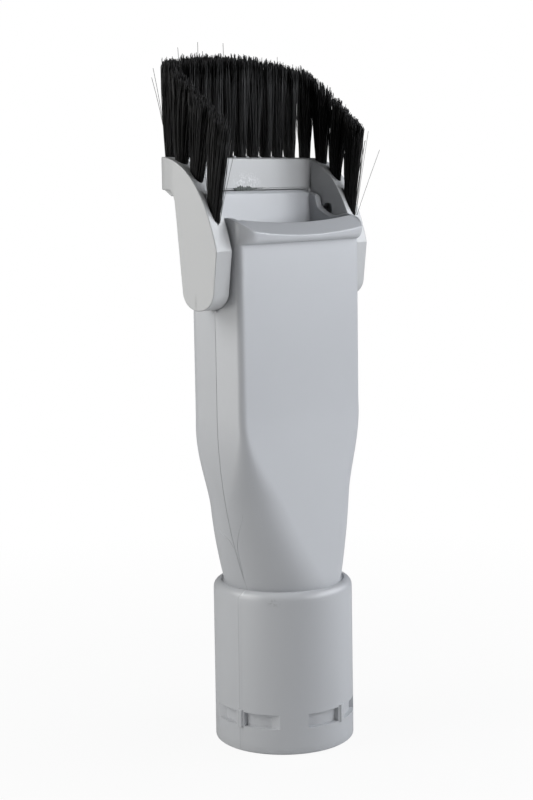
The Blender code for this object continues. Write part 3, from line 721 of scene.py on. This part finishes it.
def build_seam_flash(material):
    """Ragged flash along the seam on the band's inner face, darkened in part with painted shade.

    A thin strip whose top edge is a sum of three waves under an envelope that is high on the left
    and runs out to the right; its foot hangs into the seam and its front is lumpy.
    """
    left, right = -7.6, 6.2
    x = np.linspace(left, right, 110)
    waves = 0.6 + 0.24 * np.sin(1.7 * x + 2.4) + 0.2 * np.sin(5.9 * x + 2.0) + 0.16 * np.sin(13.3 * x)
    height = np.clip(waves, 0.1, 1.2) * smooth((x - left) / 2.2) * (1.0 - 0.75 * smooth((x + 2.0) / 5.0))
    lump = 0.14 + 0.16 * np.clip(np.sin(4.3 * x + 1.0), 0.0, 1.0) + 0.08 * np.sin(11.0 * x)
    low = BAND_BASE - 0.05 - 0.6 * smooth((x - left) / 1.5) * smooth((right - x) / 8.0)
    rows = [np.stack([x, BAND_FRONT + 0.11 + 0 * x, low], axis=-1),
            np.stack([x, BAND_FRONT - 0.03 - lump, low + 0.06], axis=-1),
            np.stack([x, BAND_FRONT - 0.05 - lump * 0.8, BAND_BASE - 0.04 + height * 0.5], axis=-1),
            np.stack([x, BAND_FRONT + 0.05 + 0 * x, BAND_BASE + height], axis=-1)]
    return new_piece("seam_flash", *capped(np.stack(rows, axis=1)), "brush", material, "frame_grey")


def build_beads(material):
    """Small leftovers of the frame's moulding: a bead of flash in each inner corner of the seam, and
    a lip pushed up between each two holes along the band."""
    beads = [ball((side * (EAR_INNER - 0.15), BAND_FRONT - 0.05, BAND_BASE - 0.9), (0.52, 0.45, 0.95))
             for side in (-1, 1)]
    beads += [ball((BACK_PITCH * (step - 3.5), BAND_MID - 0.025, BAND_TOP - 0.1),
                   (1.0 - 0.05 * step, 0.8, 0.7 - 0.05 * step)) for step in range(8)]
    return new_piece("moulding_leftovers", *joined(beads), "brush", material, "frame_grey")


def bezier(points, steps):
    """Cubic curve through four points: each weighed by its Bernstein share."""
    t = np.linspace(0.0, 1.0, steps + 1)[:, None]
    a, b, c, d = (np.array(point, float) for point in points)
    return a * (1 - t) ** 3 + 3 * b * t * (1 - t) ** 2 + 3 * c * t ** 2 * (1 - t) + d * t ** 3


def turned(centre, radius, start, end, steps):
    """Points of an arc, angles in degrees."""
    turns = np.radians(np.linspace(start, end, steps + 1))
    return np.stack([centre[0] + radius * np.cos(turns), centre[1] + radius * np.sin(turns)], axis=-1)


def frame_outlines():
    """Plan and side view of the frame, as in the solids."""
    front = -20.0
    corner = turned((EAR_OUTER - FRAME_CORNER, BAND_BACK - FRAME_CORNER), FRAME_CORNER, 0, 90, 12)
    plan = np.concatenate([[(EAR_OUTER, front)], corner, corner[::-1] * (-1, 1), [(-EAR_OUTER, front)],
                           [(-EAR_INNER, front), (-EAR_INNER, BAND_FRONT)],
                           [(EAR_INNER, BAND_FRONT), (EAR_INNER, front)]])
    crest = bezier([EAR_KINK, (-4.213, 153.044), (1.63, BAND_TOP), (BAND_MID, BAND_TOP)], 18)
    under = turned((BAND_BACK - UNDER_ROUND, BAND_BASE + UNDER_ROUND), UNDER_ROUND, 0, -90, 4)
    rear = bezier([(BAND_FRONT, BAND_BASE), (8.45, BAND_BASE), (7.6, 156.425), (7.4, 154.025)], 5)
    side = np.concatenate([turned((0.0, PIVOT_Z), EAR_END_R, 0, -180, 24), crest,
                           [(BAND_BACK, BAND_TOP)], under, rear])
    return plan, side


def pulled(points, outline):
    """Points drawn to their nearest place on a closed outline, which tightens its rounding.

    The distance d to it becomes a bent line of d: 0.7 goes to 0.3, and from 1.8 on it stays.
    """
    way = np.roll(outline, -1, axis=0) - outline
    offset = points[:, None] - outline[None]
    share = np.clip((offset * way).sum(-1) / (way ** 2).sum(-1), 0.0, 1.0)
    gap = offset - share[..., None] * way
    distance = np.linalg.norm(gap, axis=-1)
    nearest = distance.argmin(axis=1)
    rows = np.arange(len(points))
    gap, distance = gap[rows, nearest], distance[rows, nearest]
    wanted = np.where(distance < 1.8, np.interp(distance, [0.0, 0.7, 1.8], [0.0, 0.3, 1.8]), distance)
    return points - gap * (1.0 - wanted / np.maximum(distance, 1e-6))[:, None]


def crisp(points):
    """The frame's points with tighter edges, crisp inner corners and a web behind each ear."""
    points = points.copy()
    plan, side = frame_outlines()
    span, y, z = np.abs(points[:, 0]), points[:, 1], points[:, 2]
    inner = (span > 28.55) & (span < 29.32) & (y > 8.9) & (y < 9.67)
    skirt = (z < BAND_BASE - 0.01) & (y > 8.9)
    turn = np.sign(points[:, 0])
    fillet = np.stack([turn * (EAR_INNER - 0.8 * (EAR_INNER - span)),
                       BAND_FRONT - 0.8 * (BAND_FRONT - y)], axis=-1)
    points[:, :2] = np.where(inner[:, None], fillet, np.where(skirt[:, None], points[:, :2],
                                                              pulled(points[:, :2], plan)))
    points[:, 1:] = np.where(skirt[:, None], points[:, 1:], pulled(points[:, 1:], side))
    foot = (z > BAND_BASE - 0.01) & (z < 159.1) & (y < 10.45) & (span < 29.25)
    points[:, 1:] = np.where(foot[:, None], mix(np.array([BAND_FRONT, BAND_BASE]), points[:, 1:], 0.4),
                             points[:, 1:])
    web = (np.abs(points[:, 0]) > 29.2) & (np.abs(points[:, 0]) < 29.65) & (y > 7.0) & (y < 10.2)
    web = web * smooth((z - 154.6) / 1.5) * (1.0 - smooth((z - 157.6) / 1.1))
    points[:, 1] = points[:, 1] + 1.3 * web
    return points


def build_frame(material):
    """The frame's solid as one merged, smoothly shaded skin with its edges made crisper."""
    source = frame["nodes"]["brush_frame"].data
    count = len(source.vertices)
    corners = np.empty(count * 3, np.float32)
    source.vertices.foreach_get("co", corners)
    corners = corners.reshape(-1, 3) / MM
    keys, index = np.unique(np.round(corners, 3), axis=0, return_inverse=True)
    index = index.ravel()
    loops = np.empty(len(source.loops), np.int32)
    source.loops.foreach_get("vertex_index", loops)
    triangles = index[loops].reshape(-1, 3)
    whole = ((triangles[:, 0] != triangles[:, 1]) & (triangles[:, 1] != triangles[:, 2])
             & (triangles[:, 2] != triangles[:, 0]))
    piece = new_piece("brush_frame_moulding", crisp(keys), triangles[whole], "brush", material,
                      "frame_grey", ("brush_frame",), 12)
    weigh = piece.modifiers.new("face_weighted_shading", "WEIGHTED_NORMAL")
    weigh.keep_sharp = True
    weigh.weight = 80
    return piece


# Bristles

def trim(x, y):
    """Height of the trimmed tips: crowned along the back, falling forwards along the sides."""
    back = np.maximum(BAND_MID - y, 0.0)
    return TRIM_TOP - TRIM_CROWN * (x / EAR_MID) ** 2 + 0.9 * (back > 0) - TRIM_SLOPE * back


def crown(y):
    """Height of the frame's top over a distance back, from its kink up to the band."""
    stations = [-6.6, -5.9, -4.7, -3.3, -1.4, 1.25, 3.6, 5.9, 8.7, 11.0, BAND_MID]
    heights = [142.0, 145.1, 149.8, 153.7, 157.4, 160.8, 162.9, 164.3, 165.6, 166.75, BAND_TOP]
    return np.interp(y, stations, heights)


def tubes(paths, radius, turn):
    """Three-sided tubes along paths of shape (strands, stations, 3), closed at both ends."""
    strands, stations, _ = paths.shape
    angles = turn[:, None, None] + np.radians([0.0, 120.0, 240.0])[None, None, :]
    thick = radius[:, :, None]
    points = np.stack([paths[:, :, None, 0] + thick * np.cos(angles),
                       paths[:, :, None, 1] + thick * np.sin(angles),
                       paths[:, :, None, 2] + 0.0 * thick * angles], axis=-1)
    quads = np.array(grid_faces(stations, 3, False))
    starts = (np.arange(strands) * stations * 3)[:, None, None]
    sides = (quads[None] + starts).reshape(-1, 4)
    base = np.array([[2, 1, 0]])[None] + starts
    tip = np.array([[0, 1, 2]])[None] + (stations - 1) * 3 + starts
    faces = [tuple(face) for face in sides] + [tuple(face) for face in base.reshape(-1, 3)]
    faces += [tuple(face) for face in tip.reshape(-1, 3)]
    return points.reshape(-1, 3), faces


def strand_paths(rng, place, count):
    """Paths of a tuft's strands.

    Roots fill the hole as a sunflower disc. Each tip keeps its root's direction from the middle,
    pushed out to the tuft's spread, and is drawn part of the way to the nearest of a few clumps,
    which also differ a little in height. The strand goes there with its sideways travel growing
    as a power of the height, plus a slight bow of its own.
    """
    x, y, across, along, side, forward, flare = place
    order = np.arange(count) + 0.5
    reach = np.sqrt(order / count)
    turn = order * math.pi * (3.0 - math.sqrt(5.0))
    root = np.stack([reach * np.cos(turn), reach * np.sin(turn)], axis=-1)
    root = root + rng.normal(0.0, 0.03, root.shape)
    spread = np.array([across, along]) * (1.04 + rng.normal(0.0, 0.08, (count, 1)))
    tip = root * spread + np.array([side, forward])
    clumps = tip[rng.choice(count, CLUMPS, replace=False)] + rng.normal(0.0, 0.2, (CLUMPS, 2))
    gap = np.linalg.norm(tip[:, None] - clumps[None], axis=-1)
    clump = gap.argmin(axis=1)
    tip = mix(tip, clumps[clump], CLUMP_PULL) + rng.normal(0.0, 0.2, root.shape)
    mouth = crown(y + TUFT_R * root[:, 1]) - 0.3
    low = crown(y - HOLE_R) - ROOT_SUNK
    top = trim(x + tip[:, 0], y + tip[:, 1]) - rng.gamma(1.5, 0.55, count) + 0.15
    top = top + rng.normal(0.0, 0.22, CLUMPS)[clump] + rng.normal(0.0, 0.2)
    long_ones = rng.random(count) < LONG_SHARE
    top = top + long_ones * rng.uniform(0.3, 1.3, count)
    stations = np.array([0.25, 0.5, 0.75, 1.0])
    heights = np.concatenate([np.full((count, 1), low), mouth[:, None],
                              mix(mouth[:, None], top[:, None], stations[None])], axis=1)
    travel = np.concatenate([[0.0, 0.0], stations ** flare])[None, :, None]
    bow = np.concatenate([[0.0, 0.0], np.sin(np.pi * stations)])[None, :, None]
    sway = rng.normal(0.0, SWAY, (count, 1, 2)) * bow
    flat = root[:, None, :] * TUFT_R * (1.0 - travel) + tip[:, None, :] * travel + sway
    return np.concatenate([flat + np.array([x, y]), heights[:, :, None]], axis=-1)


def tuft_places():
    """Tufts from left to right round the frame, rooted as in the solids.

    Each is its plan place, its half width and half depth at the tips, how far the tips stand to
    the side and forward of the root, and the power by which it spreads on the way up.
    """
    corner_x, corner_y = CORNER_TUFT
    side_y = [corner_y - (step + 0.95) * SIDE_PITCH for step in range(3)]
    left = [(-EAR_MID, side_y[2] - 0.4, 2.5, 3.5, 0.1, -2.7, 0.9),
            (-EAR_MID, side_y[1], 2.5, 3.6, 0.1, -2.1, 0.8),
            (-EAR_MID, side_y[0], 2.4, 3.4, 0.2, -1.1, 0.8),
            (-corner_x, corner_y, 2.2, 2.3, 0.2, -0.2, 0.9)]
    back = [(BACK_PITCH * step, BAND_MID, 3.5, 2.7, 0.0, 0.0, 0.85 + 0.07 * min(step, 0))
            for step in range(-4, 3)]
    back += [(BACK_PITCH * 3, BAND_MID, 3.4, 2.7, 0.0, 0.0, 1.2),
             (BACK_PITCH * 4, BAND_MID, 3.5, 2.7, 0.4, 0.0, 1.3)]
    right = [(corner_x, corner_y, 3.0, 2.8, 0.4, -0.2, 1.2), (EAR_MID, side_y[0], 2.5, 3.6, 0.0, -0.4, 1.2),
             (EAR_MID, side_y[1], 2.5, 3.2, 0.0, -1.7, 1.25),
             (EAR_MID, side_y[2], 2.3, 2.9, -0.3, -2.2, 1.25)]
    return left + back + right


# Strays that stand clear of their tuft: its number, root offset, tip offset, extra length, the power
# by which the stray travels sideways on its way up, and its shade.
STRAYS = [(4, (-1.2, 0.6), (-4.3, 2.0), -1.5, 1.5, 0.3), (4, (-1.3, 0.2), (-3.6, 3.2), -4.0, 1.5, 0.3),
          (6, (0.2, 0.4), (0.6, 0.5), 4.2, 1.5, 0.2), (8, (0.1, 0.2), (-0.3, 0.4), 4.0, 1.5, 0.2),
          (5, (-0.4, 0.2), (-1.6, 0.8), 3.1, 1.5, 0.2), (17, (1.2, -1.7), (1.9, -9.3), -5.4, 1.05, 0.8),
          (17, (1.0, -1.5), (1.2, -5.9), -0.3, 1.0, 2.0), (17, (1.0, -1.5), (0.9, -4.9), -4.0, 1.0, 1.8),
          (17, (0.6, -1.3), (0.2, -4.6), 0.6, 1.2, 0.3), (1, (0.7, -1.5), (0.8, -6.3), -8.0, 1.1, 2.0),
          (1, (0.9, -1.4), (1.0, -5.6), -4.0, 1.0, 1.8), (12, (0.5, 0.1), (1.2, 0.4), 2.2, 1.5, 0.3),
          (15, (1.2, 0.3), (3.6, -0.2), 0.5, 1.5, 0.3)]


def stray_paths(number, place):
    """Paths and shades of a tuft's strays: sideways travel grows as a power of the height."""
    x, y = place[:2]
    paths, shades = [], []
    for tuft, root, tip, extra, power, shade in STRAYS:
        if tuft != number:
            continue
        low = crown(y + root[1]) - 0.8
        top = trim(x + tip[0], max(y + tip[1], -9.0)) + extra
        stations = np.array([0.0, 0.2, 0.4, 0.6, 0.8, 1.0])
        flat = np.array(root)[None] + (np.array(tip) - np.array(root))[None] * stations[:, None] ** power
        heights = mix(low, top, stations)
        paths.append(np.concatenate([flat + np.array([x, y]), heights[:, None]], axis=-1))
        shades.append(shade)
    return np.array(paths).reshape(-1, 6, 3), shades


def build_tufts(material):
    """One piece for each tuft: its strands and strays, with their own shade and the way up them."""
    for number, place in enumerate(tuft_places(), 1):
        rng = np.random.default_rng(4100 + number)
        strays, shades = stray_paths(number, place)
        paths = np.concatenate([strand_paths(rng, place, STRANDS), strays])
        count, stations = paths.shape[:2]
        radius = np.full((count, stations), STRAND_R)
        radius[STRANDS:] = STRAY_R
        points, faces = tubes(paths, radius, rng.uniform(0.0, 2.0, count))
        along = np.tile(np.repeat(np.linspace(0.0, 1.0, stations), 3), count)
        strand = np.repeat(np.concatenate([rng.random(STRANDS) ** 2, shades]), stations * 3)
        new_piece("bristles_%02d" % number, points, faces, "brush", material, "bristle_black",
                  ("bristle_tuft_%02d" % number,), None, {"along": along, "strand": strand})


# Lights, camera and floor

def aim(item, place, target=(0.0, 0.0, 0.10)):
    """Puts an object at a place in metres with its own -Z towards the target."""
    back = np.array(place) - np.array(target)
    back = back / np.linalg.norm(back)
    right = np.cross((0.0, 0.0, 1.0), back)
    right = right / np.linalg.norm(right)
    up = np.cross(back, right)
    item.matrix_world = Matrix([[right[i], up[i], back[i], place[i]] for i in range(3)] + [[0, 0, 0, 1]])


def softbox(name, place, power, colour):
    """Square soft light at a place in metres, turned to the object."""
    light = bpy.data.lights.new(name, "AREA")
    light.shape = "RECTANGLE"
    light.size = light.size_y = BOX_SIZE
    light.energy = power
    light.color = colour
    item = bpy.data.objects.new(name, light)
    bpy.context.scene.collection.objects.link(item)
    aim(item, place)


def camera():
    """Camera fitted to the photograph's viewpoint: its place, and its axes in the object's frame."""
    view = bpy.data.cameras.new("view")
    view.lens = 72.866
    view.sensor_width = 36.0
    view.clip_start = 0.01
    item = bpy.data.objects.new("view", view)
    bpy.context.scene.collection.objects.link(item)
    right, up, back = (0.597284, -0.801878, -0.015564), (0.115597, 0.066868, 0.991043), \
        (-0.793655, -0.593734, 0.132634)
    place = (-0.369313, -0.271462, 0.159642)
    item.matrix_world = Matrix([[right[i], up[i], back[i], place[i]] for i in range(3)] + [[0, 0, 0, 1]])
    bpy.context.scene.camera = item


def white_stage():
    """Pale round floor that shows white to the camera and still takes the object's shadow.

    The share shown as plain white grows from WHITE_AT_FOOT, 30 mm away, to 1 at 280 mm.
    """
    finish = Finish("pale_floor", Roughness=0.9)
    finish.drive("Base Color", (FLOOR_GREY, FLOOR_GREY, FLOOR_GREY, 1.0))
    ray = finish.node("ShaderNodeLightPath", output="Is Camera Ray")
    place, _ = finish.place()
    away = finish.node("ShaderNodeVectorMath", {"operation": "LENGTH"}, {0: place}, "Value")
    white = WHITE_AT_FOOT + ((away - 0.03) * 4.0).clipped() * (1.0 - WHITE_AT_FOOT)
    glow = finish.node("ShaderNodeEmission", None, {"Color": (1, 1, 1, 1), "Strength": 1.0})
    output = finish.tree.nodes["Material Output"]
    lit = Wire(finish, finish.shader.outputs[0])
    shown = finish.node("ShaderNodeMixShader", None, {0: ray * white, 1: lit, 2: glow})
    finish.tree.links.new(shown.socket, output.inputs["Surface"])
    turns = np.linspace(0.0, 2 * np.pi, 96, endpoint=False)
    mesh = bpy.data.meshes.new("floor")
    mesh.from_pydata([(FLOOR_R * math.cos(t), FLOOR_R * math.sin(t), -0.0002) for t in turns], [],
                     [tuple(range(len(turns)))])
    mesh.materials.append(finish.material)
    floor = bpy.data.objects.new("floor", mesh)
    bpy.context.scene.collection.objects.link(floor)


def world():
    """Dim even surroundings, shown white to the camera and to rays passed through."""
    surroundings = bpy.data.worlds.new("studio")
    bpy.context.scene.world = surroundings
    surroundings.use_nodes = True
    tree = surroundings.node_tree
    tree.nodes.clear()
    path = tree.nodes.new("ShaderNodeLightPath")
    shown = tree.nodes.new("ShaderNodeMath")
    shown.operation = "MAXIMUM"
    tree.links.new(path.outputs["Is Camera Ray"], shown.inputs[0])
    tree.links.new(path.outputs["Is Transmission Ray"], shown.inputs[1])
    strength = tree.nodes.new("ShaderNodeMapRange")
    strength.inputs["To Min"].default_value = SURROUNDINGS
    strength.inputs["To Max"].default_value = 1.0
    tree.links.new(shown.outputs[0], strength.inputs["Value"])
    background = tree.nodes.new("ShaderNodeBackground")
    background.inputs["Color"].default_value = (1.0, 1.0, 1.0, 1.0)
    tree.links.new(strength.outputs["Result"], background.inputs["Strength"])
    output = tree.nodes.new("ShaderNodeOutputWorld")
    tree.links.new(background.outputs[0], output.inputs["Surface"])


def main():
    body_grey = moulded_plastic("moulded_grey_body", (0.50, 0.51, 0.53), 0.025, body_lines)
    frame_grey = moulded_plastic("moulded_grey_frame", (0.50, 0.505, 0.51), 0.02, frame_lines)
    build_body(body_grey.material)
    build_mould_lines(body_grey.material)
    build_frame(frame_grey.material)
    build_gate_nub(frame_grey.material)
    build_seam_flash(shaded_flash_finish().material)
    build_beads(frame_grey.material)
    build_tufts(bristle_finish().material)
    anchor = metal_finish().material
    for name, node in frame["nodes"].items():
        if name.startswith("tuft_anchor"):
            node.data.materials.clear()
            node.data.materials.append(anchor)
    white_stage()
    world()
    warm, cool, fair = (1.0, 1.0, 0.985), (0.93, 0.96, 1.0), (0.97, 0.98, 1.0)
    softbox("left_high_box", (-0.315, 0.247, 0.40), 1.42, warm)
    softbox("left_low_box", (-0.414, 0.177, 0.14), 0.77, warm)
    softbox("right_box", (0.223, -0.332, 0.27), 0.85, cool)
    softbox("right_rear_box", (0.335, -0.218, 0.30), 0.75, cool)
    softbox("right_front_box", (0.051, -0.427, 0.22), 0.8, fair)
    camera()
    bpy.context.scene.view_settings.view_transform = "Standard"


main()
